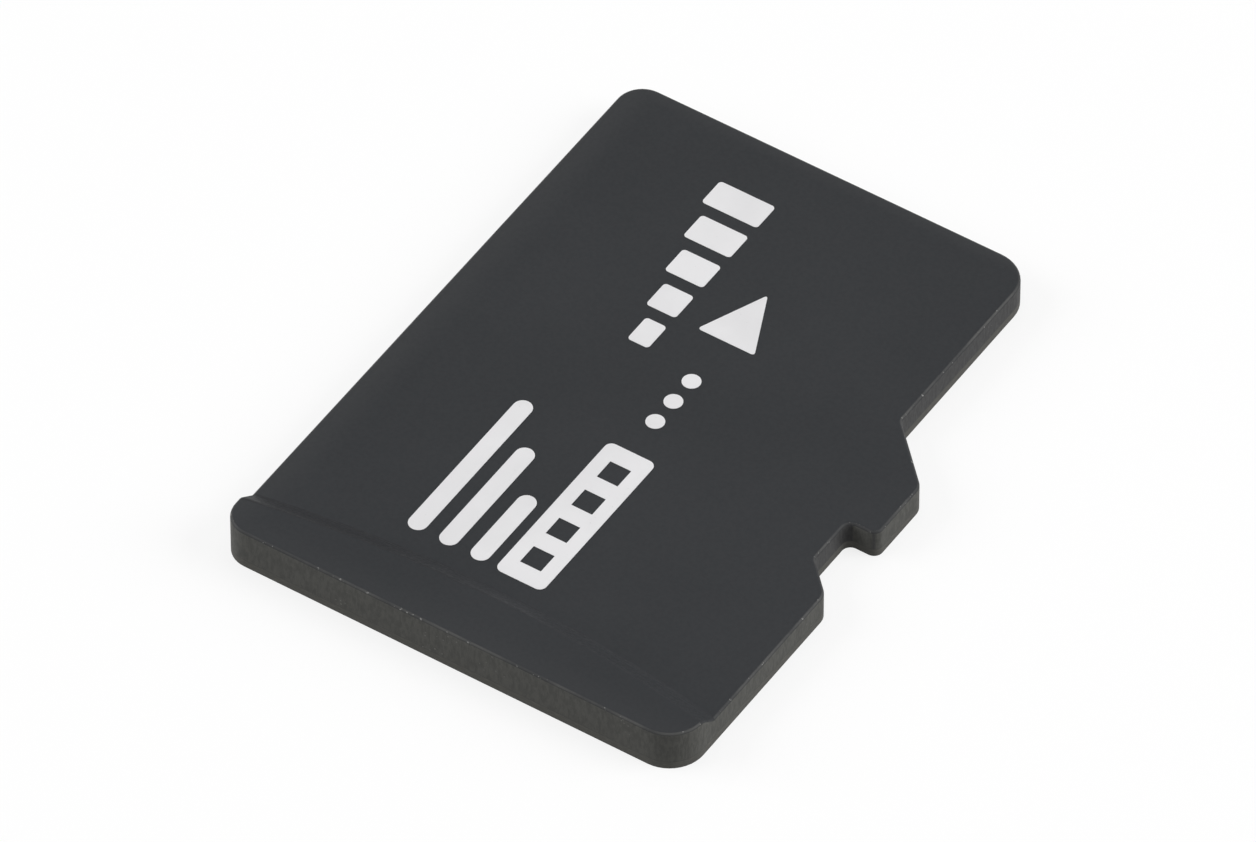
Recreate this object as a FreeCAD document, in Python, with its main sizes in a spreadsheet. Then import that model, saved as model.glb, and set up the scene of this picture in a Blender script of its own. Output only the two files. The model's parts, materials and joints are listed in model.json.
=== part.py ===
import FreeCAD, Part
import Sketcher
import os

# A small removable memory card, built as the chip package that it is: bare chips glued and wired on a thin
# board, overmoulded with epoxy. The board and the moulding share one cut outline.
# Millimetres. The origin is the middle of the underside. +Y points the way the card goes into its socket,
# +X to the side with the latch notch, and +Z up, out of the label side.

SIZES = [
    ("card_length", 15.0, "front edge to back edge"),
    ("card_width", 11.0, "straight side to the stepped side, at its widest"),
    ("card_thickness", 0.7, "underside to label face"),
    ("grip_thickness", 1.0, "underside to the top of the finger ridge"),
    ("nose_width", 9.7, "width of the narrow front part"),
    ("shoulder_from_front", 6.3, "front edge to where the shoulder reaches full width"),
    ("shoulder_angle", 45, "degrees between the shoulder and the side"),
    ("latch_from_front", 7.9, "front edge to the square wall of the latch notch"),
    ("latch_depth", 0.7, "depth of the latch notch"),
    ("latch_floor", 1.2, "length of the notch floor"),
    ("latch_ramp_angle", 45, "degrees between the notch ramp and the side"),
    ("straight_corner_radius", 0.6, "front and back corners on the straight side"),
    ("stepped_corner_radius", 0.8, "front and back corners on the stepped side"),
    ("shoulder_crest_radius", 0.4, "outer corner of the shoulder"),
    ("shoulder_root_radius", 0.2, "inner corner of the shoulder"),
    ("latch_tip_radius", 0.2, "outer corner of the square notch wall"),
    ("latch_root_radius", 0.2, "inner corners of the notch"),
    ("ramp_crest_radius", 0.4, "outer corner of the notch ramp"),
    ("edge_radius", 0.08, "rounding along the top edge of the moulding"),
    ("grip_toe_at_sides", 1.17, "back edge to the foot of the ridge, measured at the card's sides"),
    ("grip_arc_radius", 30.0, "plan radius of the foot of the ridge"),
    ("grip_ramp_run", 0.4, "horizontal length of the ridge's inner slope"),
    ("grip_toe_radius", 0.15, "rounding at the foot of the ridge"),
    ("grip_crest_radius", 0.12, "rounding at the top of the ridge's inner slope"),
    ("board_thickness", 0.2, "laminate board with its coatings"),
    ("contact_pitch", 1.1, "centre to centre of neighbouring contacts"),
    ("contact_width", 0.8, "width of a contact"),
    ("contact_back_end", 4.3, "front edge of the card to the back end of the contacts"),
    ("signal_setback", 1.4, "front edge of the card to a signal contact"),
    ("supply_setback", 1.1, "front edge of the card to the supply and ground contacts"),
    ("contact_thickness", 0.03, "plated copper of a contact"),
    ("contact_recess", 0.02, "contact face below the underside of the board"),
    ("contact_corner_radius", 0.12, "corners of a contact and of its window"),
    ("die_length", 8.5, "memory chip along the card"),
    ("die_width", 8.4, "memory chip across the card"),
    ("die_thickness", 0.05, "thinned memory chip"),
    ("die_step", 0.3, "ledge left on each chip for its bond pads"),
    ("film_thickness", 0.015, "adhesive film under a chip"),
    ("stack_from_front", 4.6, "front edge of the card to the lowest memory chip"),
    ("controller_length", 2.0, "controller chip along the card"),
    ("controller_width", 3.0, "controller chip across the card"),
    ("controller_thickness", 0.12, "controller chip"),
    ("controller_from_front", 1.4, "front edge of the card to the controller chip"),
    ("controller_from_side", 2.2, "straight side of the card to the controller chip"),
    ("controller_pad_inset", 0.1, "edge of the controller chip to its bond pads"),
    ("capacitor_length", 0.6, "capacitor along the card"),
    ("capacitor_width", 0.3, "capacitor across the card"),
    ("capacitor_height", 0.3, "capacitor over its end terminals"),
    ("terminal_length", 0.15, "length of an end terminal"),
    ("terminal_proud", 0.02, "end terminal above and below the ceramic"),
    ("capacitor_gap", 1.2, "controller chip to the first capacitor"),
    ("capacitor_pitch", 0.9, "centre to centre of neighbouring capacitors"),
    ("wire_size", 0.025, "thickness and width of a bond wire"),
    ("wire_rise", 0.05, "height of a wire loop above its chip"),
    ("wire_foot", 0.08, "flat bonded length at each end of a wire"),
    ("wire_reach", 0.4, "edge of a chip to the bond on the board"),
    ("memory_wire_pitch", 0.36, "spacing of the memory bond wires"),
    ("controller_wire_pitch", 0.22, "spacing of the controller bond wires"),
    ("cut_overrun", 0.5, "how far a cut runs on past the solid"),
]

MEMORY_DIE_COUNT = 4
CAPACITOR_COUNT = 3
MEMORY_WIRE_COUNT = 20
CONTROLLER_WIRE_COUNT = 12
SAME = 1e-4
CONTACTS = [
    ("contact_1_data_2", "signal_setback"),
    ("contact_2_data_3", "signal_setback"),
    ("contact_3_command", "signal_setback"),
    ("contact_4_supply", "supply_setback"),
    ("contact_5_clock", "signal_setback"),
    ("contact_6_ground", "supply_setback"),
    ("contact_7_data_0", "signal_setback"),
    ("contact_8_data_1", "signal_setback"),
]

doc = FreeCAD.newDocument("memory_card")
dims = doc.addObject("Spreadsheet::Sheet", "dims")
for row, (size_name, number, meaning) in enumerate(SIZES, start=1):
    dims.set(f"A{row}", size_name)
    dims.set(f"B{row}", str(number))
    dims.setAlias(f"B{row}", size_name)
    dims.set(f"C{row}", meaning)
doc.recompute()
subparts = {}

# Places that several pieces share, as expressions over the sheet.
SIDE_X = "dims.card_width / 2"
END_Y = "dims.card_length / 2"
NOSE_X = "(dims.nose_width - dims.card_width / 2)"
NOSE_CENTRE_X = "(dims.nose_width / 2 - dims.card_width / 2)"
SHOULDER_CREST_Y = "(dims.card_length / 2 - dims.shoulder_from_front)"
SHOULDER_RUN = "(dims.card_width - dims.nose_width) / tan(dims.shoulder_angle)"
SHOULDER_ROOT_Y = f"({SHOULDER_CREST_Y} + {SHOULDER_RUN})"
LATCH_FLOOR_X = "(dims.card_width / 2 - dims.latch_depth)"
LATCH_Y = "(dims.card_length / 2 - dims.latch_from_front)"
RAMP_ROOT_Y = f"({LATCH_Y} - dims.latch_floor)"
RAMP_CREST_Y = f"({RAMP_ROOT_Y} - dims.latch_depth / tan(dims.latch_ramp_angle))"
CONTROLLER_FRONT_Y = "(dims.card_length / 2 - dims.controller_from_front)"
CONTROLLER_BACK_Y = f"({CONTROLLER_FRONT_Y} - dims.controller_length)"
CONTROLLER_LEFT_X = "(dims.controller_from_side - dims.card_width / 2)"
CONTROLLER_TOP_Z = "(dims.board_thickness + dims.film_thickness + dims.controller_thickness)"

# The corners of the card's outline, round from the back of the straight side, each with its radius.
OUTLINE = [
    (f"-{SIDE_X}", f"-{END_Y}", "straight_corner_radius"),
    (SIDE_X, f"-{END_Y}", "stepped_corner_radius"),
    (SIDE_X, RAMP_CREST_Y, "ramp_crest_radius"),
    (LATCH_FLOOR_X, RAMP_ROOT_Y, "latch_root_radius"),
    (LATCH_FLOOR_X, LATCH_Y, "latch_root_radius"),
    (SIDE_X, LATCH_Y, "latch_tip_radius"),
    (SIDE_X, SHOULDER_CREST_Y, "shoulder_crest_radius"),
    (NOSE_X, SHOULDER_ROOT_Y, "shoulder_root_radius"),
    (NOSE_X, END_Y, "stepped_corner_radius"),
    (f"-{SIDE_X}", END_Y, "straight_corner_radius"),
]


def value(expression):
    """The number that an expression over the sheet gives now."""
    return float(dims.evalExpression(expression))


def origin_part(body, role):
    """A body's own origin plane or axis."""
    return next(part for part in body.Origin.OriginFeatures if part.Role == role)


def new_body(label):
    body = doc.addObject("PartDesign::Body", label)
    body.Label = label
    return body


def outline_sketch(body, name, plane, loops, lift="0", slide="0"):
    """A sketch of closed straight-sided loops, every corner held by two distances from the sketch's origin.

    lift moves the sketch along its normal, and slide along its own horizontal axis.
    """
    sketch = body.newObject("Sketcher::SketchObject", name)
    sketch.AttachmentSupport = (origin_part(body, plane), [""])
    sketch.MapMode = "FlatFace"
    sketch.setExpression("AttachmentOffset.Base.z", lift)
    sketch.setExpression("AttachmentOffset.Base.x", slide)
    for loop in loops:
        corners = [FreeCAD.Vector(value(across), value(along), 0) for across, along in loop]
        first = sketch.GeometryCount
        for number, corner in enumerate(corners):
            following = corners[(number + 1) % len(corners)]
            sketch.addGeometry(Part.LineSegment(corner, following))
        for number, (across, along) in enumerate(loop):
            line = first + number
            following = first + (number + 1) % len(loop)
            sketch.addConstraint(Sketcher.Constraint("Coincident", line, 2, following, 1))
            for kind, expression in (("DistanceX", across), ("DistanceY", along)):
                held = sketch.addConstraint(Sketcher.Constraint(kind, -1, 1, line, 1, value(expression)))
                sketch.setExpression(f"Constraints[{held}]", expression)
    return sketch


def rectangle(left, right, near, far):
    return [(left, near), (right, near), (right, far), (left, far)]


def pad(body, sketch, length):
    feature = body.newObject("PartDesign::Pad", f"{sketch.Name}_pad")
    feature.Profile = sketch
    feature.setExpression("Length", length)
    doc.recompute()
    return feature


def round_edges(body, name, edge_names, radius):
    """Round some edges of the body's last feature."""
    base = body.Tip
    feature = body.newObject("PartDesign::Fillet", f"{body.Name}_{name}")
    feature.Base = (base, edge_names)
    feature.setExpression("Radius", f"dims.{radius}")
    body.Tip = feature
    doc.recompute()


def edges_where(shape, test):
    return [f"Edge{number}" for number, edge in enumerate(shape.Edges, start=1) if test(edge)]


def upright_at(places):
    """A test for the upright straight edges that stand at the given places."""
    corners = [(value(across), value(along)) for across, along in places]

    def test(edge):
        ends = [vertex.Point for vertex in edge.Vertexes]
        if len(ends) < 2 or abs(ends[0].z - ends[1].z) < SAME:
            return False
        if any(abs(ends[0].x - end.x) > SAME or abs(ends[0].y - end.y) > SAME for end in ends):
            return False
        return any(abs(ends[0].x - x) < SAME and abs(ends[0].y - y) < SAME for x, y in corners)

    return test


def card_blank(label, bottom, height):
    """A slab with the card's outline, its upright corners rounded."""
    body = new_body(label)
    loop = [(across, along) for across, along, radius in OUTLINE]
    pad(body, outline_sketch(body, f"{label}_outline", "XY_Plane", [loop], lift=bottom), height)
    for radius in dict.fromkeys(name for across, along, name in OUTLINE):
        places = [(across, along) for across, along, name in OUTLINE if name == radius]
        round_edges(body, radius, edges_where(body.Tip.Shape, upright_at(places)), radius)
    return body


def contact_rectangle(number, setback):
    """The outline of one contact, counted from the stepped side."""
    centre = f"{NOSE_CENTRE_X} + ({len(CONTACTS) - 1} / 2 - {number}) * dims.contact_pitch"
    return rectangle(
        f"({centre} - dims.contact_width / 2)",
        f"({centre} + dims.contact_width / 2)",
        "(dims.card_length / 2 - dims.contact_back_end)",
        f"(dims.card_length / 2 - dims.{setback})",
    )


def make_board():
    """The laminate board, with a shallow window in its underside for each contact."""
    body = card_blank("substrate_board", "0", "dims.board_thickness")
    loops = [contact_rectangle(number, setback) for number, (name, setback) in enumerate(CONTACTS)]
    whole = body.Tip.Shape.Volume
    windows = body.newObject("PartDesign::Pocket", "contact_windows")
    windows.Profile = outline_sketch(body, "window_outlines", "XY_Plane", loops)
    windows.Reversed = True
    windows.setExpression("Length", "dims.contact_thickness + dims.contact_recess")
    body.Tip = windows
    doc.recompute()
    places = [corner for loop in loops for corner in loop]
    round_edges(body, "window_corners", edges_where(body.Tip.Shape, upright_at(places)), "contact_corner_radius")
    print(f"board: the windows take {whole - body.Tip.Shape.Volume:.4f} mm3 out of {whole:.3f} mm3")
    subparts["substrate_board"] = body


def make_contacts():
    """One plated contact on the ceiling of each window, set back from the underside."""
    for number, (label, setback) in enumerate(CONTACTS):
        body = new_body(label)
        loop = contact_rectangle(number, setback)
        sketch = outline_sketch(body, f"{label}_outline", "XY_Plane", [loop], lift="dims.contact_recess")
        pad(body, sketch, "dims.contact_thickness")
        round_edges(body, "corners", edges_where(body.Tip.Shape, upright_at(loop)), "contact_corner_radius")
        subparts[label] = body


def make_box(label, left, back, bottom, width, length, height):
    """A plain cuboid chip or film, placed by its left, back, bottom corner."""
    block = doc.addObject("Part::Box", label)
    block.Label = label
    sizes = {"Length": width, "Width": length, "Height": height}
    places = {"Placement.Base.x": left, "Placement.Base.y": back, "Placement.Base.z": bottom}
    for name, expression in {**sizes, **places}.items():
        block.setExpression(name, expression)
    subparts[label] = block


def die_front(level):
    """The front edge of a memory chip, level 0 being the lowest."""
    return f"(dims.card_length / 2 - dims.stack_from_front - {level} * dims.die_step)"


def die_top(level):
    return f"(dims.board_thickness + {level + 1} * (dims.film_thickness + dims.die_thickness))"


def make_chips():
    """The staggered memory stack and the controller, each chip on its adhesive film."""
    left = f"({NOSE_CENTRE_X} - dims.die_width / 2)"
    for level in range(MEMORY_DIE_COUNT):
        back = f"({die_front(level)} - dims.die_length)"
        die_bottom = f"({die_top(level)} - dims.die_thickness)"
        film_bottom = f"({die_bottom} - dims.film_thickness)"
        make_box(f"memory_film_{level + 1}", left, back, film_bottom,
                 "dims.die_width", "dims.die_length", "dims.film_thickness")
        make_box(f"memory_die_{level + 1}", left, back, die_bottom,
                 "dims.die_width", "dims.die_length", "dims.die_thickness")
    make_box("controller_film", CONTROLLER_LEFT_X, CONTROLLER_BACK_Y, "dims.board_thickness",
             "dims.controller_width", "dims.controller_length", "dims.film_thickness")
    make_box("controller_die", CONTROLLER_LEFT_X, CONTROLLER_BACK_Y, "dims.board_thickness + dims.film_thickness",
             "dims.controller_width", "dims.controller_length", "dims.controller_thickness")


def make_capacitors():
    """Chip capacitors beside the controller: a ceramic block between two thicker end terminals."""
    centre = f"({CONTROLLER_FRONT_Y} + {CONTROLLER_BACK_Y}) / 2"
    back = f"({centre} - dims.capacitor_length / 2)"
    front = f"({centre} + dims.capacitor_length / 2)"
    foot = "dims.board_thickness"
    top = "(dims.board_thickness + dims.capacitor_height)"
    profile = [
        (back, foot),
        (f"{back} + dims.terminal_length", foot),
        (f"{back} + dims.terminal_length", f"{foot} + dims.terminal_proud"),
        (f"{front} - dims.terminal_length", f"{foot} + dims.terminal_proud"),
        (f"{front} - dims.terminal_length", foot),
        (front, foot),
        (front, top),
        (f"{front} - dims.terminal_length", top),
        (f"{front} - dims.terminal_length", f"{top} - dims.terminal_proud"),
        (f"{back} + dims.terminal_length", f"{top} - dims.terminal_proud"),
        (f"{back} + dims.terminal_length", top),
        (back, top),
    ]
    first = f"{CONTROLLER_LEFT_X} + dims.controller_width + dims.capacitor_gap"
    for number in range(CAPACITOR_COUNT):
        label = f"capacitor_{number + 1}"
        body = new_body(label)
        left = f"{first} + {number} * dims.capacitor_pitch"
        pad(body, outline_sketch(body, f"{label}_profile", "YZ_Plane", [profile], lift=left), "dims.capacitor_width")
        subparts[label] = body


def strip(line):
    """The closed side view of a wire whose underside follows the given line."""
    upper = [(along, f"{height} + dims.wire_size") for along, height in reversed(line)]
    return line + upper


def flat_foot(centre, height):
    """A bonded foot of a wire: the two ends of its flat stretch."""
    return [(f"{centre} - dims.wire_foot / 2", height), (f"{centre} + dims.wire_foot / 2", height)]


def wire_row(label, loops, count, pitch, centre):
    """Side-by-side copies of one wire, or of a pair, centred across the card."""
    body = new_body(label)
    body.AllowCompound = True
    first = f"{centre} - {count - 1} / 2 * dims.{pitch} - dims.wire_size / 2"
    wire = pad(body, outline_sketch(body, f"{label}_side", "YZ_Plane", loops, lift=first), "dims.wire_size")
    row = body.newObject("PartDesign::LinearPattern", f"{label}_row")
    row.Originals = [wire]
    row.Direction = (origin_part(body, "X_Axis"), [""])
    row.Mode = "Spacing"
    row.setExpression("Offset", f"dims.{pitch}")
    row.Occurrences = count
    body.Tip = row
    doc.recompute()
    subparts[label] = body


def make_wires():
    """The bond wires: down the steps of the memory stack, and off both ends of the controller."""
    line = []
    for level in reversed(range(MEMORY_DIE_COUNT)):
        line += flat_foot(f"{die_front(level)} - dims.die_step / 2", die_top(level))
        line += [(die_front(level), f"{die_top(level)} + dims.wire_rise")]
    line += flat_foot(f"{die_front(0)} + dims.wire_reach", "dims.board_thickness")
    wire_row("memory_bond_wires", [strip(line)], MEMORY_WIRE_COUNT, "memory_wire_pitch", NOSE_CENTRE_X)

    loop_top = f"{CONTROLLER_TOP_Z} + dims.wire_rise"
    front = flat_foot(f"{CONTROLLER_FRONT_Y} - dims.controller_pad_inset", CONTROLLER_TOP_Z)
    front += [(CONTROLLER_FRONT_Y, loop_top)]
    front += flat_foot(f"{CONTROLLER_FRONT_Y} + dims.wire_reach", "dims.board_thickness")
    back = flat_foot(f"{CONTROLLER_BACK_Y} - dims.wire_reach", "dims.board_thickness")
    back += [(CONTROLLER_BACK_Y, loop_top)]
    back += flat_foot(f"{CONTROLLER_BACK_Y} + dims.controller_pad_inset", CONTROLLER_TOP_Z)
    centre = f"({CONTROLLER_LEFT_X} + dims.controller_width / 2)"
    wire_row("controller_bond_wires", [strip(front), strip(back)], CONTROLLER_WIRE_COUNT,
             "controller_wire_pitch", centre)


def circle_at(radius, height):
    """A test for the round edges of a given radius at a given height."""

    def test(edge):
        if edge.Curve.TypeId != "Part::GeomCircle":
            return False
        same_height = abs(edge.Curve.Center.z - height) < SAME
        return same_height and abs(edge.Curve.Radius - radius) < SAME

    return test


def wall_top_edges(shape, lowest):
    """The edges, no lower than the label face, where an upright wall meets the top of the moulding."""
    names = []
    for number, edge in enumerate(shape.Edges, start=1):
        if edge.BoundBox.ZMin < lowest - SAME:
            continue
        middle = edge.valueAt((edge.FirstParameter + edge.LastParameter) / 2)
        upright = []
        for face in shape.ancestorsOfType(edge, Part.Face):
            across, along = face.Surface.parameter(middle)
            upright.append(abs(face.normalAt(across, along).z) < SAME)
        if sorted(upright) == [False, True]:
            names.append(f"Edge{number}")
    return names


def make_moulding():
    """The epoxy moulding: a full-height blank, cut down to the label face in front of the finger ridge.

    The cut is part of a wide ring round an axis behind the card, so that the foot of the ridge is an arc
    across the card, and the ridge is widest in the middle.
    The chips, capacitors and wires are then taken out of it, since the epoxy flowed round them.
    """
    blank = card_blank("moulding_blank", "dims.board_thickness", "dims.grip_thickness - dims.board_thickness")
    toe_y = "(dims.grip_toe_at_sides - dims.card_length / 2)"
    axis_y = f"{toe_y} - sqrt(dims.grip_arc_radius ^ 2 - (dims.card_width / 2) ^ 2)"
    crest_radius = "(dims.grip_arc_radius - dims.grip_ramp_run)"
    ring_radius = "(dims.grip_arc_radius + dims.card_length + dims.cut_overrun)"
    ring = [
        ("dims.grip_arc_radius", "dims.card_thickness"),
        (ring_radius, "dims.card_thickness"),
        (ring_radius, "dims.grip_thickness + dims.cut_overrun"),
        (crest_radius, "dims.grip_thickness + dims.cut_overrun"),
        (crest_radius, "dims.grip_thickness"),
    ]
    whole = blank.Tip.Shape.Volume
    profile = outline_sketch(blank, "ring_profile", "YZ_Plane", [ring], slide=axis_y)
    cut = blank.newObject("PartDesign::Groove", "label_ring")
    cut.Profile = profile
    cut.ReferenceAxis = (profile, ["V_Axis"])
    cut.Angle = 360
    blank.Tip = cut
    doc.recompute()
    print(f"moulding: the ring takes {whole - cut.Shape.Volume:.3f} mm3 out of {whole:.3f} mm3")
    toe = circle_at(value("dims.grip_arc_radius"), value("dims.card_thickness"))
    round_edges(blank, "ridge_toe", edges_where(blank.Tip.Shape, toe), "grip_toe_radius")
    crest = circle_at(value(crest_radius), value("dims.grip_thickness"))
    round_edges(blank, "ridge_crest", edges_where(blank.Tip.Shape, crest), "grip_crest_radius")
    top_edges = wall_top_edges(blank.Tip.Shape, value("dims.card_thickness"))
    round_edges(blank, "top_edge", top_edges, "edge_radius")

    sealed = doc.addObject("Part::MultiFuse", "sealed_pieces")
    outside = ["substrate_board"] + [name for name, setback in CONTACTS]
    sealed.Shapes = [piece for name, piece in subparts.items() if name not in outside]
    moulding = doc.addObject("Part::Cut", "moulded_body")
    moulding.Label = "moulded_body"
    moulding.Base = blank
    moulding.Tool = sealed
    subparts["moulded_body"] = moulding


make_board()
make_contacts()
make_chips()
make_capacitors()
make_wires()
make_moulding()
doc.recompute()

for item in doc.Objects:
    if "Invalid" in item.State or "Error" in item.State:
        raise RuntimeError(f"{item.Name} did not rebuild: {item.State}")
for name, piece in subparts.items():
    if piece.Shape.isNull() or not piece.Shape.isValid():
        raise RuntimeError(f"{name} has no valid shape")

os.makedirs("parts", exist_ok=True)
for name, piece in subparts.items():
    piece.Shape.exportStep(f"parts/{piece.Label}.step")
    print(f"{name}: {len(piece.Shape.Solids)} solid(s), {piece.Shape.Volume:.4f} mm3")
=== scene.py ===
# %% [markdown]
# # Finishing a small memory card
# The solids of the card come in at their real size: an epoxy moulding, a thin board, gold contacts and the
# chips sealed inside. Nothing here moves or reshapes them. The lesson gives every surface its finish, prints
# the label side with plain white shapes, and sets up a white table, soft light and a camera.

# %% Clear the scene and load the solids
import json
import math
import bpy
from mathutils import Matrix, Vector

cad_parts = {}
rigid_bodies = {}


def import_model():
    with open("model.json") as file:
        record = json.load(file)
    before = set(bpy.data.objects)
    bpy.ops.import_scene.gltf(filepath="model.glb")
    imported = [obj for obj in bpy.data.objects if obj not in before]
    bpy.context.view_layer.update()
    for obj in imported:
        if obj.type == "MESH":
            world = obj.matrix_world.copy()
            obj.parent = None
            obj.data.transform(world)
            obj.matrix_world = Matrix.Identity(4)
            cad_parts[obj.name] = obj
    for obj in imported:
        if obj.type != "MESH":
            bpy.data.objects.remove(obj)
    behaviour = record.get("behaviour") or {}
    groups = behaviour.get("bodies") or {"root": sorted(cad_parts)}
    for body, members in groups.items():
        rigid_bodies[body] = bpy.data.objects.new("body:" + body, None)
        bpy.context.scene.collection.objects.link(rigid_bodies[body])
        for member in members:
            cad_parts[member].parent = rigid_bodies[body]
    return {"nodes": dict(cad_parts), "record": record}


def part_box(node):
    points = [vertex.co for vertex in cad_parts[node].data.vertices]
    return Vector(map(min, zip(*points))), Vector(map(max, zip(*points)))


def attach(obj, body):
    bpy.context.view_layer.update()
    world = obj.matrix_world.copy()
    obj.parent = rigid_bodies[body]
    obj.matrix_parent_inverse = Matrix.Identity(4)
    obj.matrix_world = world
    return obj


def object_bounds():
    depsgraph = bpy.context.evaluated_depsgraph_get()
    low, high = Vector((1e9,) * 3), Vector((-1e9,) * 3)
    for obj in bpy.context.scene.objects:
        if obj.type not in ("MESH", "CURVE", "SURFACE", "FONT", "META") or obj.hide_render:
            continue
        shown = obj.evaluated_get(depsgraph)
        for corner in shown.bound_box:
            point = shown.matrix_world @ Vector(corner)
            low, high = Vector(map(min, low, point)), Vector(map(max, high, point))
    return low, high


bpy.ops.object.select_all(action="SELECT")
bpy.ops.object.delete()
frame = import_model()
nodes = frame["nodes"]
cad_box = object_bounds()
MM = 0.001
print("solids:", len(nodes), "size in mm:", [round(side / MM, 2) for side in cad_box[1] - cad_box[0]])

# %% [markdown]
# ## Where things are
# Finishes and print are placed from the sides of the card, so those places are measured and not typed in. The
# box of the moulding gives its four sides. The top of that box is the finger ridge, which is higher than the
# label face, so the face is measured as the highest point of the front half, where there is no ridge.

# %% Measure the moulding
mould_low, mould_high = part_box("moulded_body")
STRAIGHT_X = mould_low.x
NOTCHED_X = mould_high.x
BACK_Y = mould_low.y
FRONT_Y = mould_high.y
LABEL_Z = max(corner.co.z for corner in nodes["moulded_body"].data.vertices if corner.co.y > 0)
print("label face at", round(LABEL_Z / MM, 3), "mm, ridge top at", round(mould_high.z / MM, 3), "mm")

# %% [markdown]
# ## The camera
# The photograph looks down on the card at about 47 degrees, over its back edge and from the notched side. Its
# lens is long, so the far edges hardly converge. A camera could be moved by hand until the edges lie right.
# Here it gets the distance and the two angles that were worked out from the photograph, and a longer lens, so
# that the card fills the frame. It aims a little to the left of the card's middle, which centres the outline.

# %% Camera
VIEW_AZIMUTH = 33.4
VIEW_ELEVATION = 46.8
VIEW_DISTANCE = 0.356
LENS_MM = 510
SENSOR_MM = 36
NEAR_CLIP = 0.01
FAR_CLIP = 50
AIM = Vector((-0.5, -0.3, 0.4)) * MM


def direction_to(azimuth, elevation):
    """The direction from the card to something at this turn and rise, both in degrees."""
    turn = math.radians(azimuth)
    rise = math.radians(elevation)
    return Vector((math.sin(turn) * math.cos(rise), -math.cos(turn) * math.cos(rise), math.sin(rise)))


def look_along(thing, direction):
    """Turn a camera or a lamp so that it looks along a direction."""
    thing.rotation_euler = direction.to_track_quat("-Z", "Y").to_euler()


toward_camera = direction_to(VIEW_AZIMUTH, VIEW_ELEVATION)
bpy.ops.object.camera_add(location=AIM + toward_camera * VIEW_DISTANCE)
camera = bpy.context.object
camera.name = "camera"
camera.data.lens = LENS_MM
camera.data.sensor_width = SENSOR_MM
camera.data.clip_start = NEAR_CLIP
camera.data.clip_end = FAR_CLIP
look_along(camera, -toward_camera)
bpy.context.scene.camera = camera
bpy.context.scene.view_settings.view_transform = "Standard"
print("camera at", [round(place / MM) for place in camera.location], "mm")

# %% [markdown]
# ## Building materials with code
# A material is a small graph of nodes, which could be drawn by hand in the shader editor. In code the same
# graph can be read line by line and made again. The first helper adds one node, sets its options, and fills
# each input with a plain value or with a link from another node. The others wrap nodes that are used often,
# so that the materials further down read as recipes.

# %% Helpers for shader nodes
def add_node(tree, kind, inputs=None, **options):
    """Add a node to a tree, with its options set and its inputs filled or linked."""
    made = tree.nodes.new(kind)
    for name, option in options.items():
        setattr(made, name, option)
    for name, given in (inputs or {}).items():
        if isinstance(given, bpy.types.NodeSocket):
            tree.links.new(given, made.inputs[name])
        else:
            made.inputs[name].default_value = given
    return made


def calculate(tree, operation, first, second=0.0):
    """Join two values by a named operation."""
    return add_node(tree, "ShaderNodeMath", {0: first, 1: second}, operation=operation).outputs[0]


def remap(tree, given, low, high, new_low=0.0, new_high=1.0):
    """Stretch the span from low to high onto a new span, eased at both ends."""
    spans = {"Value": given, "From Min": low, "From Max": high, "To Min": new_low, "To Max": new_high}
    return add_node(tree, "ShaderNodeMapRange", spans, interpolation_type="SMOOTHSTEP").outputs["Result"]


print("helpers:", [helper.__name__ for helper in (add_node, calculate, remap)])

# %% [markdown]
# ## A white sky
# Product pictures like this one are taken in a light tent: light comes from all round, shadows are faint, and
# the background is plain white. A picture of a studio could light the scene, but a plain pale sky gives the
# same even light. The camera, and any reflection, sees that sky as full white, while the light that it sheds
# stays moderate, so that dark plastic keeps its own tone.

# %% Sky
WHITE = (1, 1, 1, 1)
SKY_LIGHT = 0.26


def seen_directly(tree):
    """A mask that is 1 for rays from the camera, from a reflection or through glass."""
    path = add_node(tree, "ShaderNodeLightPath").outputs
    looking = calculate(tree, "MAXIMUM", path["Is Camera Ray"], path["Is Glossy Ray"])
    return calculate(tree, "MAXIMUM", looking, path["Is Transmission Ray"])


world = bpy.data.worlds.new("white tent")
bpy.context.scene.world = world
world.use_nodes = True
sky = world.node_tree
background = sky.nodes["Background"]
background.inputs["Color"].default_value = WHITE
strength = remap(sky, seen_directly(sky), 0.0, 1.0, SKY_LIGHT, 1.0)
sky.links.new(strength, background.inputs["Strength"])
print("sky sheds", SKY_LIGHT, "and shows as white")

# %% [markdown]
# ## A white table
# The card lies on a white sweep that can't be told from the background. White paint alone would turn grey
# far from the lamps, and the shadow on it would be heavier than in the photograph. So for the eye the table
# mostly glows, which makes it white, and the rest of it is paint, on which a faint, soft shadow of the card
# stays. The light that it throws back on the card comes from a third, darker coat, set by itself.

# %% Table
TABLE_SIZE = 6.0
TABLE_BOUNCE = (0.3, 0.3, 0.3, 1)
TABLE_GLOW = 0.80


def start_material(name):
    """A new node material, its tree and its main shader."""
    material = bpy.data.materials.new(name)
    material.use_nodes = True
    return material, material.node_tree, material.node_tree.nodes["Principled BSDF"]


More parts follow.
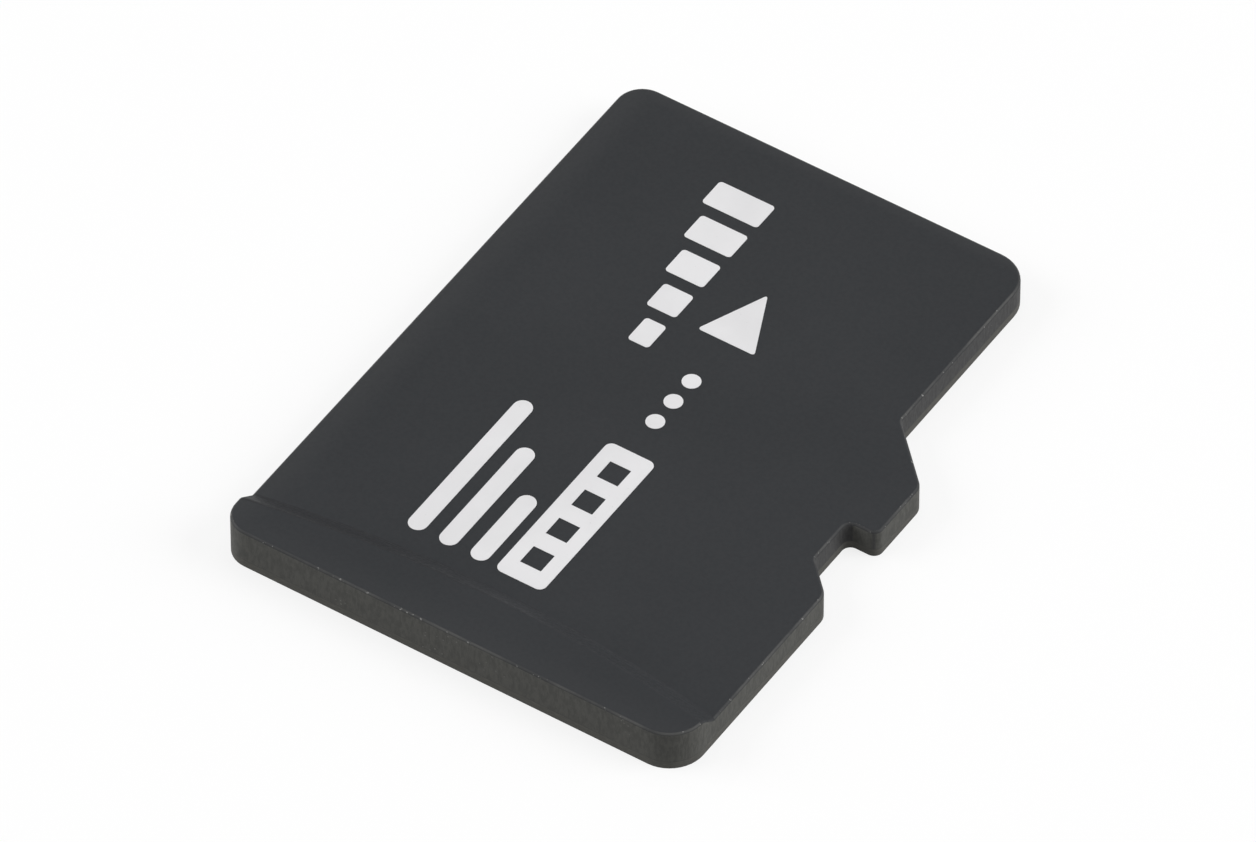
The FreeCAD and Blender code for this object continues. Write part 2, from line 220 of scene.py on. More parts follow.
bpy.ops.object.select_all(action="DESELECT")
bpy.ops.mesh.primitive_plane_add(size=TABLE_SIZE, location=(0, 0, cad_box[0].z))
table = bpy.context.object
table.name = "table"
table_white, coats, plain_shader = start_material("white_table")
coats.nodes.remove(plain_shader)
bounce = add_node(coats, "ShaderNodeBsdfDiffuse", {"Color": TABLE_BOUNCE}).outputs[0]
paint = add_node(coats, "ShaderNodeBsdfDiffuse", {"Color": WHITE}).outputs[0]
glow = add_node(coats, "ShaderNodeEmission", {"Color": WHITE, "Strength": 1.0}).outputs[0]
shown = add_node(coats, "ShaderNodeMixShader", {0: TABLE_GLOW, 1: paint, 2: glow}).outputs[0]
chosen = add_node(coats, "ShaderNodeMixShader", {0: seen_directly(coats), 1: bounce, 2: shown}).outputs[0]
coats.links.new(chosen, coats.nodes["Material Output"].inputs["Surface"])
table.data.materials.append(table_white)
print("table", TABLE_SIZE, "m wide")

# %% [markdown]
# ## Three soft lamps
# Lamps give the walls their different tones, which an even sky alone can't. In the photograph the wall on the
# notched side is the lightest, so the strongest lamp stands on that side. Small lamps would leave hard lights
# on the rounded edges. Each lamp here is a square, many times wider than the card, so its light is soft.

# %% Lamps
def soft_lamp(name, azimuth, elevation, distance, size, power):
    """A square lamp that faces the card from a given direction."""
    direction = direction_to(azimuth, elevation)
    bpy.ops.object.light_add(type="AREA", location=direction * distance)
    lamp = bpy.context.object
    lamp.name = name
    lamp.data.size = size
    lamp.data.energy = power
    look_along(lamp, -direction)


soft_lamp("right_lamp", azimuth=115, elevation=30, distance=0.6, size=0.4, power=2.5)
soft_lamp("left_lamp", azimuth=-60, elevation=30, distance=0.6, size=0.4, power=2.0)
soft_lamp("top_lamp", azimuth=200, elevation=75, distance=0.7, size=0.5, power=0.95)

# %% [markdown]
# ## Grain, a finish that several materials share
# No real surface is one flat colour. Under a lens, moulded epoxy, lacquer, ink and gold plate all show broad,
# soft clouds and a fine grain. Both could be set up again in each material. They are made once instead, as a
# node group with its own inputs, and each material uses it at its own scale. Noise on Object coordinates
# stays fixed to the part as the camera moves.

# %% Grain group
CLOUD_SCALE = 400.0
GRAIN_SCALE = 9000.0


def make_grain_group():
    """A group with two outputs, Clouds and Grain, whose scales and stretch are its inputs."""
    group = bpy.data.node_groups.new("surface_grain", "ShaderNodeTree")
    for name, start in (("Cloud Scale", CLOUD_SCALE), ("Grain Scale", GRAIN_SCALE), ("Stretch", 1.0)):
        socket = group.interface.new_socket(name=name, in_out="INPUT", socket_type="NodeSocketFloat")
        socket.default_value = start
    for name in ("Clouds", "Grain"):
        group.interface.new_socket(name=name, in_out="OUTPUT", socket_type="NodeSocketFloat")
    given = add_node(group, "NodeGroupInput").outputs
    result = add_node(group, "NodeGroupOutput").inputs
    point = add_node(group, "ShaderNodeTexCoord").outputs["Object"]
    lengths = add_node(group, "ShaderNodeCombineXYZ", {"X": 1.0, "Y": 1.0, "Z": given["Stretch"]}).outputs[0]
    drawn = add_node(group, "ShaderNodeMapping", {"Vector": point, "Scale": lengths}).outputs[0]
    broad = {"Vector": point, "Scale": given["Cloud Scale"], "Detail": 3.0}
    fine = {"Vector": drawn, "Scale": given["Grain Scale"], "Detail": 4.0, "Roughness": 0.6}
    group.links.new(add_node(group, "ShaderNodeTexNoise", broad).outputs["Fac"], result["Clouds"])
    group.links.new(add_node(group, "ShaderNodeTexNoise", fine).outputs["Fac"], result["Grain"])
    return group


GRAIN = make_grain_group()


def add_grain(tree, cloud_scale=CLOUD_SCALE, grain_scale=GRAIN_SCALE, stretch=1.0):
    """Use the shared grain; a stretch below 1 draws the grain out upright, and one above 1 lays it flat."""
    settings = {"Cloud Scale": cloud_scale, "Grain Scale": grain_scale, "Stretch": stretch}
    return add_node(tree, "ShaderNodeGroup", settings, node_tree=GRAIN).outputs


print("group:", GRAIN.name, "with", len(GRAIN.nodes), "nodes")

# %% [markdown]
# ## What the finishes share
# Every finish mixes colours by masks and ends the same way, with a colour, a roughness and a fine relief on
# the shader. These helpers take that up, so that a finish holds only what is its own. A number that is the
# same all over a surface, such as how much it reflects, needs no node and is set on the shader itself.

# %% Helpers for finishes
# A pair of numbers is a span that a mask is stretched from or onto. Most noise lies within this one.
NOISE_SPAN = (0.3, 0.7)


def mix_colour(tree, factor, first, second, blend="MIX"):
    """Blend two colours by a factor; a Mix node takes colours in its sockets 6 and 7."""
    colours = {0: factor, 6: first, 7: second}
    return add_node(tree, "ShaderNodeMix", colours, data_type="RGBA", blend_type=blend).outputs[2]


def mix_value(tree, factor, first, second):
    """Blend two plain values by a factor; a Mix node takes them in its sockets 2 and 3."""
    return add_node(tree, "ShaderNodeMix", {0: factor, 2: first, 3: second}).outputs[0]


def split(tree, vector):
    """The X, Y and Z of a vector."""
    return add_node(tree, "ShaderNodeSeparateXYZ", {0: vector}).outputs


def feed_shader(tree, shader, colour, roughness, height, relief, specular=0.5, metal=0.0):
    """Link a finish to its shader; height is a mask that is turned into a relief this deep, in metres."""
    bump = add_node(tree, "ShaderNodeBump", {"Height": height, "Distance": relief})
    tree.links.new(colour, shader.inputs["Base Color"])
    tree.links.new(roughness, shader.inputs["Roughness"])
    tree.links.new(bump.outputs["Normal"], shader.inputs["Normal"])
    shader.inputs["Specular IOR Level"].default_value = specular
    shader.inputs["Metallic"].default_value = metal


print("helpers:", [helper.__name__ for helper in (mix_colour, mix_value, split, feed_shader)])

# %% [markdown]
# ## The epoxy moulding: its label face
# Such a face is formed against a spark-eroded mould, so it is evenly matt, near black with a cool cast. In
# the photograph it is a little paler along its straight side, its front and its back, which is taken as
# rubbing by fingers and sockets. The inner slope of the ridge gets painted shade, darkest at the straight
# side. Such marks could be painted on an image. Masks worked out from the place of a point do it too, and
# they stay sharp at any size.

# %% Colour of the label face
FACE_TONE = (0.0158, 0.0174, 0.0198, 1)
FACE_TONE_LIGHT = (0.0192, 0.0208, 0.0234, 1)
HANDLED_TONE = (0.0252, 0.0266, 0.0288, 1)
HANDLED_SIDE = 0.9 * MM
HANDLED_FRONT = 0.45 * MM
HANDLED_BACK = 0.8 * MM
HANDLED_BACK_SHARE = 0.5
# Painted shade on the inner slope of the ridge, fading out from the straight side over its reach.
RIDGE_SLOPE_PAINTED_SHADE = (0.48, 0.48, 0.50, 1)
PAINTED_SHADE_REACH = 9.5 * MM
RIDGE_REACH = 1.9 * MM
SLOPE_LEAN = (0.02, 0.10)
BLUR = 0.05 * MM


def ridge_slope(tree, where, facing):
    """A mask of the ridge's inner slope, which is close to the back edge and leans to the front."""
    leaning = remap(tree, facing["Y"], *SLOPE_LEAN)
    close = remap(tree, where["Y"], BACK_Y + RIDGE_REACH, BACK_Y + RIDGE_REACH + BLUR, 1.0, 0.0)
    return calculate(tree, "MULTIPLY", leaning, close)


def face_colour(tree, clouds, where, slope):
    """Two drifting tones, paler where the face is handled, with painted shade on the slope of the ridge."""
    colour = mix_colour(tree, remap(tree, clouds, *NOISE_SPAN), FACE_TONE, FACE_TONE_LIGHT)
    side = remap(tree, where["X"], STRAIGHT_X, STRAIGHT_X + HANDLED_SIDE, 1.0, 0.0)
    front = remap(tree, where["Y"], FRONT_Y - HANDLED_FRONT, FRONT_Y)
    back = remap(tree, where["Y"], BACK_Y, BACK_Y + HANDLED_BACK, HANDLED_BACK_SHARE, 0.0)
    handled = calculate(tree, "MAXIMUM", side, calculate(tree, "MAXIMUM", front, back))
    colour = mix_colour(tree, handled, colour, HANDLED_TONE)
    # Painted shade: the inner slope of the ridge is darkened, most at the straight side.
    fading = remap(tree, where["X"], STRAIGHT_X, STRAIGHT_X + PAINTED_SHADE_REACH, 1.0, 0.0)
    painted_slope_shade = calculate(tree, "MULTIPLY", fading, slope)
    return mix_colour(tree, painted_slope_shade, colour, RIDGE_SLOPE_PAINTED_SHADE, blend="MULTIPLY")


print("face tones:", FACE_TONE[:3], "to", HANDLED_TONE[:3])

# %% [markdown]
# ## The epoxy moulding: its cut walls
# Cards like this are moulded side by side and then cut apart. The cut breaks the skin and leaves grey, rough
# walls with fine, upright streaks and light grains of filler. In the photograph the walls of the stepped
# stretch are darker and cooler, and darkest in the inner corner of the notch. So the walls that face the
# notched side, are set back from the widest part of that side and lie past the start of the notch are made
# darker and cooler, and painted shade darkens the inner corner of the notch, where the tab shades it. The
# stretch could be a piece of its own, but the moulding is one solid, so masks pick these walls out.

# %% Colour of the cut walls
WALL_TONE = (0.105, 0.105, 0.097, 1)
WALL_TONE_DARK = (0.0787, 0.0787, 0.0735, 1)
STREAK_SPAN = (0.35, 0.65)
FILLER_TONE = (0.21, 0.21, 0.20, 1)
FILLER_SCALE = 9000.0
FILLER_SIZE = (0.10, 0.20)
FILLER_PATCHES = (0.56, 0.64)
# Darkens and cools the set-back walls past the start of the notch.
SET_BACK_WALL_DARKENING = (0.67, 0.67, 0.73, 1)
RECESS = 0.10 * MM
NOTCH_START = 5.05 * MM
NOTCH_END = 7.1 * MM
NOTCH_DEPTH = 0.7 * MM
SIDEWAYS = (0.2, 0.5)
# Painted shade in the inner corner of the notch, fading between the near and the far distance.
NOTCH_PAINTED_SHADE = (0.70, 0.70, 0.70, 1)
PAINTED_SHADE_NEAR = 0.30 * MM
PAINTED_SHADE_FAR = 0.65 * MM
PAINTED_SHADE_HEIGHT = LABEL_Z * 0.6
NOTCH_CORNER = (NOTCHED_X - NOTCH_DEPTH, BACK_Y + NOTCH_END, PAINTED_SHADE_HEIGHT)


def set_back_walls(tree, where, facing):
    """A mask of the set-back walls past the start of the notch, which are made darker and cooler."""
    set_back = remap(tree, where["X"], NOTCHED_X - RECESS, NOTCHED_X - RECESS + BLUR, 1.0, 0.0)
    past_start = remap(tree, where["Y"], BACK_Y + NOTCH_START, BACK_Y + NOTCH_START + BLUR)
    stretch = calculate(tree, "MULTIPLY", set_back, past_start)
    return calculate(tree, "MULTIPLY", stretch, remap(tree, facing["X"], *SIDEWAYS))


def cut_colour(tree, point, cut_grain, set_back_mask):
    """Streaks, grains of filler, darker set-back walls, and painted shade in the inner corner of the notch.
    """
    colour = mix_colour(tree, remap(tree, cut_grain["Grain"], *STREAK_SPAN), WALL_TONE_DARK, WALL_TONE)
    cells = add_node(tree, "ShaderNodeTexVoronoi", {"Vector": point, "Scale": FILLER_SCALE})
    filler = remap(tree, cells.outputs["Distance"], *FILLER_SIZE, 1.0, 0.0)
    filler = calculate(tree, "MULTIPLY", filler, remap(tree, cut_grain["Clouds"], *FILLER_PATCHES))
    colour = mix_colour(tree, filler, colour, FILLER_TONE)
    # The set-back walls past the start of the notch are made darker and cooler.
    colour = mix_colour(tree, set_back_mask, colour, SET_BACK_WALL_DARKENING, blend="MULTIPLY")
    # Painted shade: the inner corner of the notch is darkened, where the tab shades it.
    corner = add_node(tree, "ShaderNodeVectorMath", {0: point, 1: NOTCH_CORNER}, operation="DISTANCE")
    near_corner = remap(tree, corner.outputs["Value"], PAINTED_SHADE_NEAR, PAINTED_SHADE_FAR, 1.0, 0.0)
    painted_corner_shade = calculate(tree, "MULTIPLY", set_back_mask, near_corner)
    return mix_colour(tree, painted_corner_shade, colour, NOTCH_PAINTED_SHADE, blend="MULTIPLY")


print("soot round", [round(place / MM, 2) for place in NOTCH_CORNER], "mm")

# %% [markdown]
# ## The epoxy moulding: its worn and highlit edges
# Between the face and the walls lies a rounded edge, where the skin of such a card is rubbed through first.
# It shows as a faint, broken, paler line with a few pale nicks, partly wear and partly painted highlight and
# painted glints. The edge could be picked out by its place all round the outline. The way that it faces is
# simpler: it is neither level nor upright. The slope of the ridge is that too, so it is taken out again.

# %% Wear and painted highlights on the edges
# Paler line and pale nicks on the rounded edge: partly wear, partly painted highlight and painted glints.
RUBBED_AND_HIGHLIT_TONE = (0.095, 0.095, 0.092, 1)
NICK_AND_GLINT_TONE = (0.30, 0.30, 0.29, 1)
EDGE_STEEP = (0.30, 0.55)
EDGE_LEVEL = (0.80, 0.97)
RUB_AND_HIGHLIGHT_PATCHES = (0.42, 0.62)
RUB_AND_HIGHLIGHT_SHARE = (0.25, 0.7)
NICK_AND_GLINT_SPAN = (0.62, 0.70)


def rub_and_highlight_edges(tree, colour, level, slope, patches, grain):
    """Lay a worn line and pale nicks over a colour, both partly wear and partly painted highlight; level is 1
    on flat surfaces and 0 on upright ones.
    """
    not_steep = remap(tree, level, *EDGE_STEEP)
    not_level = remap(tree, level, *EDGE_LEVEL, 1.0, 0.0)
    rounded = calculate(tree, "MULTIPLY", not_steep, not_level)
    rounded = calculate(tree, "MULTIPLY", rounded, calculate(tree, "SUBTRACT", 1.0, slope))
    rubbed_and_highlit = calculate(tree, "MULTIPLY", rounded, remap(tree, patches, *RUB_AND_HIGHLIGHT_PATCHES, *RUB_AND_HIGHLIGHT_SHARE))
    # Painted highlight: the rounded edge is made paler, partly also as worn-through skin.
    colour = mix_colour(tree, rubbed_and_highlit, colour, RUBBED_AND_HIGHLIT_TONE)
    # Painted glints: pale nicks on the rounded edge, partly also real nicks.
    nicks_and_glints = calculate(tree, "MULTIPLY", rounded, remap(tree, grain, *NICK_AND_GLINT_SPAN))
    return mix_colour(tree, nicks_and_glints, colour, NICK_AND_GLINT_TONE)


print("rubbed tone:", RUBBED_AND_HIGHLIT_TONE[:3], "nicks:", NICK_AND_GLINT_TONE[:3])

# %% [markdown]
# ## The epoxy moulding: all in one finish
# Face, walls and edges could have a material each, set face by face, but the solids are left as they came. So
# one material does it all. The way that a surface faces chooses between the colours, because the walls stand
# upright. The walls also have the deeper relief and the rougher look, since the cut went through the filler.

# %% Moulded epoxy
UPRIGHT = (0.15, 0.45)
FACE_ROUGHNESS = (0.50, 0.62)
WALL_ROUGHNESS = 0.72
WALL_RELIEF = 8e-6
FACE_RELIEF_SHARE = 0.30
EPOXY_SPECULAR = 0.22


def make_moulded_epoxy():
    """The finish of the moulding, from the colours above."""
    material, tree, shader = start_material("moulded_epoxy_finish")
    place = add_node(tree, "ShaderNodeTexCoord").outputs
    where = split(tree, place["Object"])
    facing = split(tree, place["Normal"])
    level = calculate(tree, "ABSOLUTE", facing["Z"])
    wall = remap(tree, level, *UPRIGHT, 1.0, 0.0)
    slope = ridge_slope(tree, where, facing)
    skin = add_grain(tree, cloud_scale=260, grain_scale=11000)
    cut = add_grain(tree, cloud_scale=900, grain_scale=15000, stretch=0.35)
    face = face_colour(tree, skin["Clouds"], where, slope)
    walls = cut_colour(tree, place["Object"], cut, set_back_walls(tree, where, facing))
    colour = mix_colour(tree, wall, face, walls)
    colour = rub_and_highlight_edges(tree, colour, level, slope, cut["Clouds"], skin["Grain"])
    face_height = calculate(tree, "MULTIPLY", skin["Grain"], FACE_RELIEF_SHARE)
    height = mix_value(tree, wall, face_height, cut["Grain"])
    roughness = remap(tree, skin["Grain"], *NOISE_SPAN, *FACE_ROUGHNESS)
    roughness = mix_value(tree, wall, roughness, WALL_ROUGHNESS)
    feed_shader(tree, shader, colour, roughness, height, WALL_RELIEF, specular=EPOXY_SPECULAR)
    return material


MOULDED_EPOXY = make_moulded_epoxy()
print("finish:", MOULDED_EPOXY.name)

# %% [markdown]
# ## The board
# The board is a glass-cloth laminate coated black on both faces. Its underside is the smooth, slightly glossy
# coating with a faint orange-peel. Its cut edge shows the layers: coating, dark resin with pale threads of
# glass, coating. The layers could be thin solids of their own, but only their edges ever show. So the height
# above the table tells them apart.

# %% Board laminate
COATING_TONE = (0.011, 0.0115, 0.012, 1)
RESIN_TONE = (0.076, 0.075, 0.068, 1)
THREAD_TONE = (0.110, 0.107, 0.096, 1)
THREAD_SPAN = (0.45, 0.70)
EDGE_LINE_TONE = (0.048, 0.048, 0.045, 1)
COATING = 0.012 * MM
COATING_BLUR = 0.0024 * MM
BOARD_UPRIGHT = (0.2, 0.6)
COATING_ROUGHNESS = (0.30, 0.40)
EDGE_ROUGHNESS = 0.75
EDGE_RELIEF = 6e-6
PEEL_SHARE = 0.25
BOARD_SPECULAR = 0.4
board_low, board_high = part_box("substrate_board")


def make_board_laminate():
    """Black coating on the faces, and layers of resin and glass thread in the cut edge."""
    material, tree, shader = start_material("board_laminate_finish")
    place = add_node(tree, "ShaderNodeTexCoord").outputs
    above_table = split(tree, place["Object"])["Z"]
    level = calculate(tree, "ABSOLUTE", split(tree, place["Normal"])["Z"])
    edge = remap(tree, level, *BOARD_UPRIGHT, 1.0, 0.0)
    threads = add_grain(tree, grain_scale=5200, stretch=7.0)["Grain"]
    core = mix_colour(tree, remap(tree, threads, *THREAD_SPAN), RESIN_TONE, THREAD_TONE)
    lower_line = board_low.z + COATING
    upper_line = board_high.z - COATING
    over = remap(tree, above_table, lower_line - COATING_BLUR, lower_line + COATING_BLUR)
    under = remap(tree, above_table, upper_line - COATING_BLUR, upper_line + COATING_BLUR, 1.0, 0.0)
    layers = mix_colour(tree, calculate(tree, "MULTIPLY", over, under), EDGE_LINE_TONE, core)
    colour = mix_colour(tree, edge, COATING_TONE, layers)
    peel = add_grain(tree, cloud_scale=500, grain_scale=3500)
    height = mix_value(tree, edge, calculate(tree, "MULTIPLY", peel["Grain"], PEEL_SHARE), threads)
    roughness = remap(tree, peel["Clouds"], *NOISE_SPAN, *COATING_ROUGHNESS)
    roughness = mix_value(tree, edge, roughness, EDGE_ROUGHNESS)
    feed_shader(tree, shader, colour, roughness, height, EDGE_RELIEF, specular=BOARD_SPECULAR)
    return material


BOARD_LAMINATE = make_board_laminate()
print("finish:", BOARD_LAMINATE.name, "on a board", round((board_high.z - board_low.z) / MM, 2), "mm thick")

# %% [markdown]
# ## The gold contacts
# The contacts are hard gold over nickel: bright, with fine marks along the way that the springs of a socket
# wipe them. Scratches could be modelled, but they are far too fine to be worth a mesh. So they are noise,
# drawn out along the card, in the roughness and in a very fine relief.

# %% Gold contacts
GOLD_TONE = (0.80, 0.55, 0.22, 1)
GOLD_TONE_LIGHT = (0.87, 0.63, 0.29, 1)
WIPE_DRAWN = (1.0, 0.03, 1.0)
WIPE_SCALE = 14000.0
WIPE_SPAN = (0.35, 0.7)
WIPE_ROUGHNESS = (0.18, 0.34)
WIPE_RELIEF = 1.5e-6


def make_gold_contact():
    """Plated gold with wipe marks along the card."""
    material, tree, shader = start_material("gold_contact_finish")
    clouds = add_grain(tree, cloud_scale=500)["Clouds"]
    colour = mix_colour(tree, remap(tree, clouds, *NOISE_SPAN), GOLD_TONE, GOLD_TONE_LIGHT)
    point = add_node(tree, "ShaderNodeTexCoord").outputs["Object"]
    drawn = add_node(tree, "ShaderNodeMapping", {"Vector": point, "Scale": WIPE_DRAWN}).outputs[0]
    noise = {"Vector": drawn, "Scale": WIPE_SCALE, "Detail": 3.0}
    wipes = add_node(tree, "ShaderNodeTexNoise", noise).outputs["Fac"]
    roughness = remap(tree, wipes, *WIPE_SPAN, *WIPE_ROUGHNESS)
    feed_shader(tree, shader, colour, roughness, wipes, WIPE_RELIEF, metal=1.0)
    return material


GOLD_CONTACT = make_gold_contact()
print("finish:", GOLD_CONTACT.name)

# %% [markdown]
# ## The sealed pieces
# The pieces inside never show, yet each has its own finish, so that the part can be opened up later: silicon
# in blue-grey, amber film, fired ceramic and drawn gold wire. One colour each would do for pieces that are
# hidden. A recipe with different values takes little more, and leaves them ready for a close look.

# %% Finishes of the sealed pieces
def make_grained(name, dark, light, scales, roughness, relief, metal=0.0):
    """A finish whose colour drifts between two tones, with fine grain in its roughness and relief."""
    material, tree, shader = start_material(name)
    look = add_grain(tree, *scales)
    colour = mix_colour(tree, remap(tree, look["Clouds"], *NOISE_SPAN), (*dark, 1), (*light, 1))
    roughness = remap(tree, look["Grain"], *NOISE_SPAN, *roughness)
    feed_shader(tree, shader, colour, roughness, look["Grain"], relief, metal=metal)
    return material


SILICON_CHIP = make_grained(
    "silicon_chip_finish", dark=(0.16, 0.17, 0.20), light=(0.24, 0.25, 0.29),
    scales=(300, 9000), roughness=(0.12, 0.2), relief=5e-7, metal=0.7)
ADHESIVE_FILM = make_grained(
    "adhesive_film_finish", dark=(0.28, 0.20, 0.09), light=(0.40, 0.30, 0.15),
    scales=(600, 7000), roughness=(0.4, 0.55), relief=2e-6)
CAPACITOR_CERAMIC = make_grained(
    "capacitor_finish", dark=(0.36, 0.25, 0.15), light=(0.48, 0.36, 0.24),
    scales=(2500, 14000), roughness=(0.5, 0.65), relief=3e-6)
GOLD_WIRE = make_grained(
    "gold_wire_finish", dark=(0.80, 0.55, 0.22), light=(0.88, 0.64, 0.30),
    scales=(4000, 20000), roughness=(0.2, 0.3), relief=5e-7, metal=1.0)
print("finishes:", [made.name for made in (SILICON_CHIP, ADHESIVE_FILM, CAPACITOR_CERAMIC, GOLD_WIRE)])

# %% [markdown]
# ## Giving the solids their finishes
# The record says which material each piece of the card is made of. Finishes could be handed out by hand, one
# piece after another. With the record to follow, no piece is missed, and pieces of one material match.

# %% Put the finishes on
FINISHES = {
    "moulded_epoxy": MOULDED_EPOXY,
    "board_laminate": BOARD_LAMINATE,
    "gold_contact": GOLD_CONTACT,
    "silicon_chip": SILICON_CHIP,
    "adhesive_film": ADHESIVE_FILM,
    "capacitor_ceramic": CAPACITOR_CERAMIC,
    "gold_wire": GOLD_WIRE,
}
for row in frame["record"]["subparts"]:
    for slot in nodes[row["node"]].material_slots:
        slot.material = FINISHES[row["material_slot"]]

# %% [markdown]
# ## White print
# The label side is screen-printed in white, here with plain and generic shapes. The ink is not quite even:
# it has a fine grain, and specks of a greyer tone where it is thin and the black shows through. The print
# could be a picture laid on the face. As marks with a material of their own, it stays sharp close up.

# %% Ink
INK_TONE = (0.74, 0.735, 0.745, 1)
INK_TONE_LIGHT = (0.79, 0.785, 0.795, 1)
THIN_INK_TONE = (0.45, 0.45, 0.46, 1)
THIN_INK_SPAN = (0.66, 0.76)
THIN_INK_SHARE = (0.0, 0.35)
INK_ROUGHNESS = (0.48, 0.62)
INK_RELIEF = 2e-6
INK_SPECULAR = 0.35


def make_ink():
    """White ink with a fine grain and greyer specks."""
    material, tree, shader = start_material("white_ink_finish")
    film = add_grain(tree, cloud_scale=700, grain_scale=16000)
    colour = mix_colour(tree, remap(tree, film["Clouds"], *NOISE_SPAN), INK_TONE, INK_TONE_LIGHT)
    thin = remap(tree, film["Grain"], *THIN_INK_SPAN, *THIN_INK_SHARE)
    colour = mix_colour(tree, thin, colour, THIN_INK_TONE)
    roughness = remap(tree, film["Grain"], *NOISE_SPAN, *INK_ROUGHNESS)
    feed_shader(tree, shader, colour, roughness, film["Grain"], INK_RELIEF, specular=INK_SPECULAR)
    return material


INK = make_ink()
print("finish:", INK.name)

# %% [markdown]
# ## How a mark is made
# Screen ink stands a few thousandths of a millimetre proud, with crisp edges, so each mark is a real, very
# thin solid. It starts flat and is shaped in edit mode. Then it is extruded to its thickness, shrunk and set
# on the face. It could be drawn in metres from the start, but in millimetres the numbers are easy to read.

# %% Helpers for marks
INK_THICKNESS = 0.008
CORNER_STEPS = 6


def start_mark(name):
    """Name a fresh primitive and go into edit mode with all of it selected."""
    mark = bpy.context.object
    mark.name = name
    mark.data.name = name
    bpy.ops.object.mode_set(mode="EDIT")
    bpy.ops.mesh.select_all(action="SELECT")
    return mark


def round_corners(radius):
    """Round every corner of the flat outline that is being edited."""
    bpy.ops.mesh.bevel(offset=radius, offset_type="OFFSET", segments=CORNER_STEPS, affect="VERTICES")


def finish_mark(mark, across, along):
    """Give the flat mark its ink thickness, shrink it to metres and set it on the label face.

    across is measured from the straight side of the card and along from its back edge, in millimetres.
    """
    bpy.ops.mesh.select_all(action="SELECT")
    bpy.ops.mesh.extrude_region_move(TRANSFORM_OT_translate={"value": (0, 0, INK_THICKNESS)})
    bpy.ops.mesh.select_all(action="SELECT")
    bpy.ops.mesh.normals_make_consistent(inside=False)
    bpy.ops.object.mode_set(mode="OBJECT")
    mark.scale = (MM, MM, MM)
    mark.location = (STRAIGHT_X + across * MM, BACK_Y + along * MM, LABEL_Z)
    bpy.ops.object.transform_apply(location=True, rotation=True, scale=True)
    mark.data.materials.append(INK)
    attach(mark, "root")


print("ink stands", INK_THICKNESS, "mm above the face")

# %% [markdown]
# ## Rising bars
# The boldest print is near the front: a row of five bars, each a little taller than the one before. They
# differ in height, so each is made at its own size from a plane, by a helper that the strokes use too.
# Stretching copies of one bar would be quicker, but would pull its round corners out of shape.

# %% Bars
BARS = 5
BAR_FOOT = 4.39
BAR_FIRST = 9.2
BAR_PITCH = 1.0
BAR_LENGTH = 0.70
BAR_SHORTEST = 0.50
BAR_RISE = 0.21
BAR_CORNER = 0.08


def ink_tile(name, across, along, width, length, radius):
    """A rounded rectangle of ink, centred at a place on the card."""
    bpy.ops.object.select_all(action="DESELECT")
    bpy.ops.mesh.primitive_plane_add(size=1, location=(0, 0, 0))
    mark = start_mark(name)
    bpy.ops.transform.resize(value=(width, length, 1))
    round_corners(radius)
    finish_mark(mark, across, along)


for number in range(BARS):
    tall = BAR_SHORTEST + BAR_RISE * number
    middle = BAR_FIRST + BAR_PITCH * number
    ink_tile(f"print_bar_{number + 1}", BAR_FOOT - tall / 2, middle, tall, BAR_LENGTH, BAR_CORNER)
print("bars:", BARS, "the tallest", round(tall, 2), "mm")

# %% [markdown]
# ## An arrow for the way in
# A triangle beside the bars points to the front, the way that the card goes into a socket. It could be drawn
# corner by corner. A circle with three points is already a triangle, so all that it needs is a slimmer shape
# and rounded corners.

# %% Arrow
ARROW_RADIUS = 0.92
ARROW_STRETCH = (0.86, 1.12, 1)
ARROW_CORNER = 0.09
ARROW_ACROSS = 5.6
ARROW_ALONG = 10.4
bpy.ops.object.select_all(action="DESELECT")
bpy.ops.mesh.primitive_circle_add(vertices=3, radius=ARROW_RADIUS, fill_type="NGON", location=(0, 0, 0))
arrow = start_mark("print_arrow")
bpy.ops.transform.resize(value=ARROW_STRETCH)
round_corners(ARROW_CORNER)
finish_mark(arrow, ARROW_ACROSS, ARROW_ALONG)
print("arrow corners:", len(arrow.data.vertices))

# %% [markdown]
# ## Dots
# Three dots in a row lie behind the arrow. They are all alike, so one is modelled and the others are copies
# of it, each moved on by one step. An array modifier could repeat it, but the three would then be one piece.
# Each copy has a mesh of its own, and its move is applied, so that it sits at the origin as other marks do.

# %% Dots
DOTS = 3
DOT_POINTS = 40
DOT_RADIUS = 0.2
DOT_ACROSS = 5.62
DOT_FIRST = 7.25
DOT_PITCH = 0.66
DOT_STEP = (0, DOT_PITCH * MM, 0)
bpy.ops.object.select_all(action="DESELECT")
bpy.ops.mesh.primitive_circle_add(
    vertices=DOT_POINTS, radius=DOT_RADIUS, fill_type="NGON", location=(0, 0, 0))
finish_mark(start_mark("print_dot_1"), DOT_ACROSS, DOT_FIRST)
for number in range(2, DOTS + 1):
    bpy.ops.object.duplicate_move(TRANSFORM_OT_translate={"value": DOT_STEP})
    bpy.ops.object.transform_apply(location=True, rotation=True, scale=True)
    dot = bpy.context.object
    dot.name = f"print_dot_{number}"
    dot.data.name = dot.name
    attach(dot, "root")
print("dots:", DOTS)

# %% [markdown]
# ## Rounded strokes
# Three strokes with round ends lie near the ridge, each shorter than the one before. A stroke could be a
# thick curve. A tile whose corners are rounded by almost half its width gives the same shape with the helper
# that is there already. It is almost half and not half, so that no two points of an end fall together.

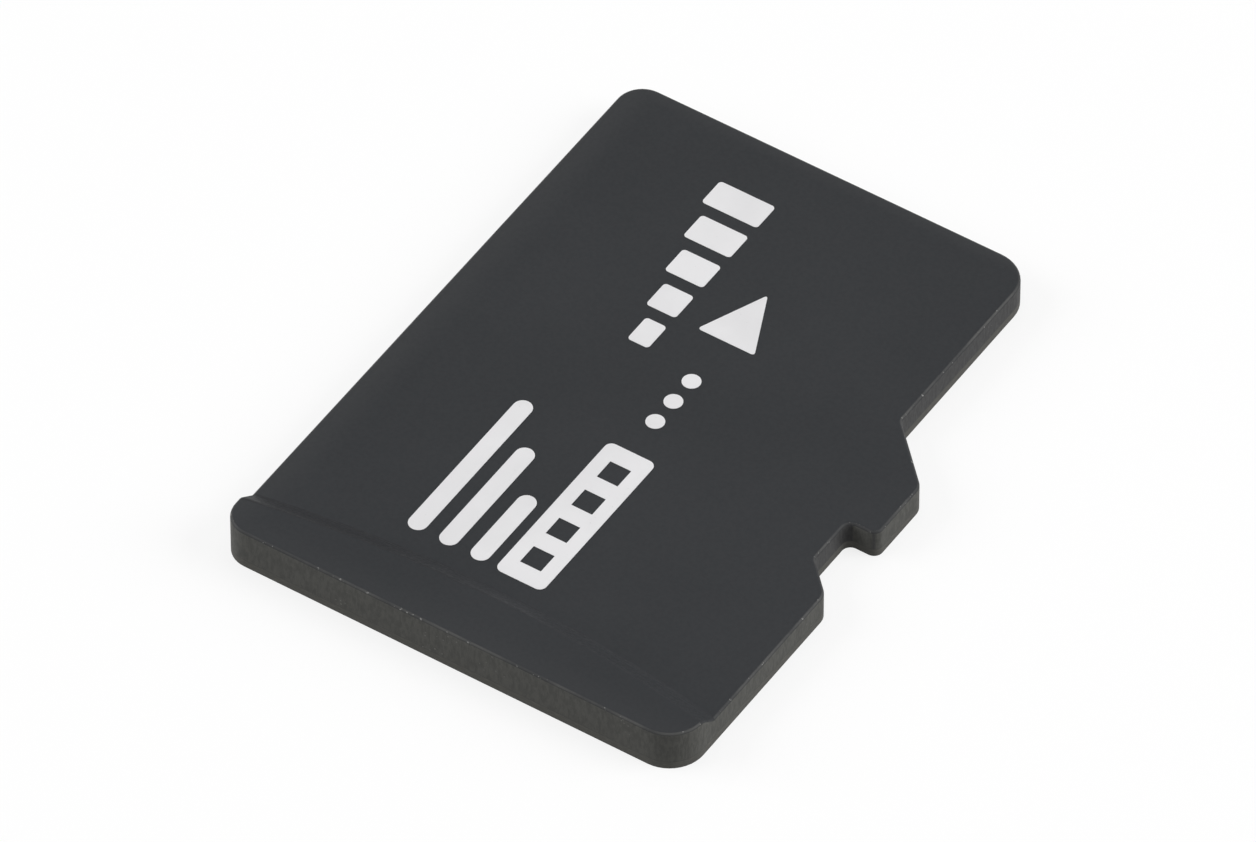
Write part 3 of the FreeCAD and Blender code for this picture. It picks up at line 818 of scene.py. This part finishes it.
# %% Strokes
STROKE_WIDTH = 0.42
STROKE_CORNER = STROKE_WIDTH * 0.499
STROKE_ACROSS = 3.2
STROKE_PITCH = 0.75
STROKE_START = 2.15
STROKE_LENGTHS = (4.16, 3.1, 2.04)
for number, length in enumerate(STROKE_LENGTHS):
    across = STROKE_ACROSS + STROKE_PITCH * number
    middle = STROKE_START + length / 2
    ink_tile(f"print_stroke_{number + 1}", across, middle, STROKE_WIDTH, length, STROKE_CORNER)
print("strokes:", len(STROKE_LENGTHS))

# %% [markdown]
# ## A field with square windows
# Beside the strokes lies a white field with four square windows, through which the face shows. A boolean
# could cut them. Bisecting the flat tile along the edges of the windows keeps the mesh clean: it gives a grid
# of faces, and those that fall inside a window are selected by their middle and deleted, before the tile gets
# its thickness.

# %% Windowed field
FIELD_WIDTH = 1.14
FIELD_LENGTH = 4.14
FIELD_CORNER = 0.16
FIELD_ACROSS = 5.72
FIELD_ALONG = 4.22
WINDOWS = 4
WINDOW_PITCH = 0.92
HALF_WINDOW = 0.25
bpy.ops.object.select_all(action="DESELECT")
bpy.ops.mesh.primitive_plane_add(size=1, location=(0, 0, 0))
field = start_mark("print_field")
bpy.ops.transform.resize(value=(FIELD_WIDTH, FIELD_LENGTH, 1))
round_corners(FIELD_CORNER)
window_middles = [(number - (WINDOWS - 1) / 2) * WINDOW_PITCH for number in range(WINDOWS)]
for edge in [middle + side for middle in window_middles for side in (-HALF_WINDOW, HALF_WINDOW)]:
    bpy.ops.mesh.select_all(action="SELECT")
    bpy.ops.mesh.bisect(plane_co=(0, edge, 0), plane_no=(0, 1, 0))
for edge in (-HALF_WINDOW, HALF_WINDOW):
    bpy.ops.mesh.select_all(action="SELECT")
    bpy.ops.mesh.bisect(plane_co=(edge, 0, 0), plane_no=(1, 0, 0))
bpy.ops.mesh.select_mode(type="FACE")
bpy.ops.mesh.select_all(action="DESELECT")
bpy.ops.object.mode_set(mode="OBJECT")
for face in field.data.polygons:
    inside_width = abs(face.center.x) < HALF_WINDOW
    inside_length = any(abs(face.center.y - middle) < HALF_WINDOW for middle in window_middles)
    face.select = inside_width and inside_length
bpy.ops.object.mode_set(mode="EDIT")
bpy.ops.mesh.delete(type="FACE")
bpy.ops.mesh.select_mode(type="VERT")
finish_mark(field, FIELD_ACROSS, FIELD_ALONG)
print("field faces:", len(field.data.polygons))
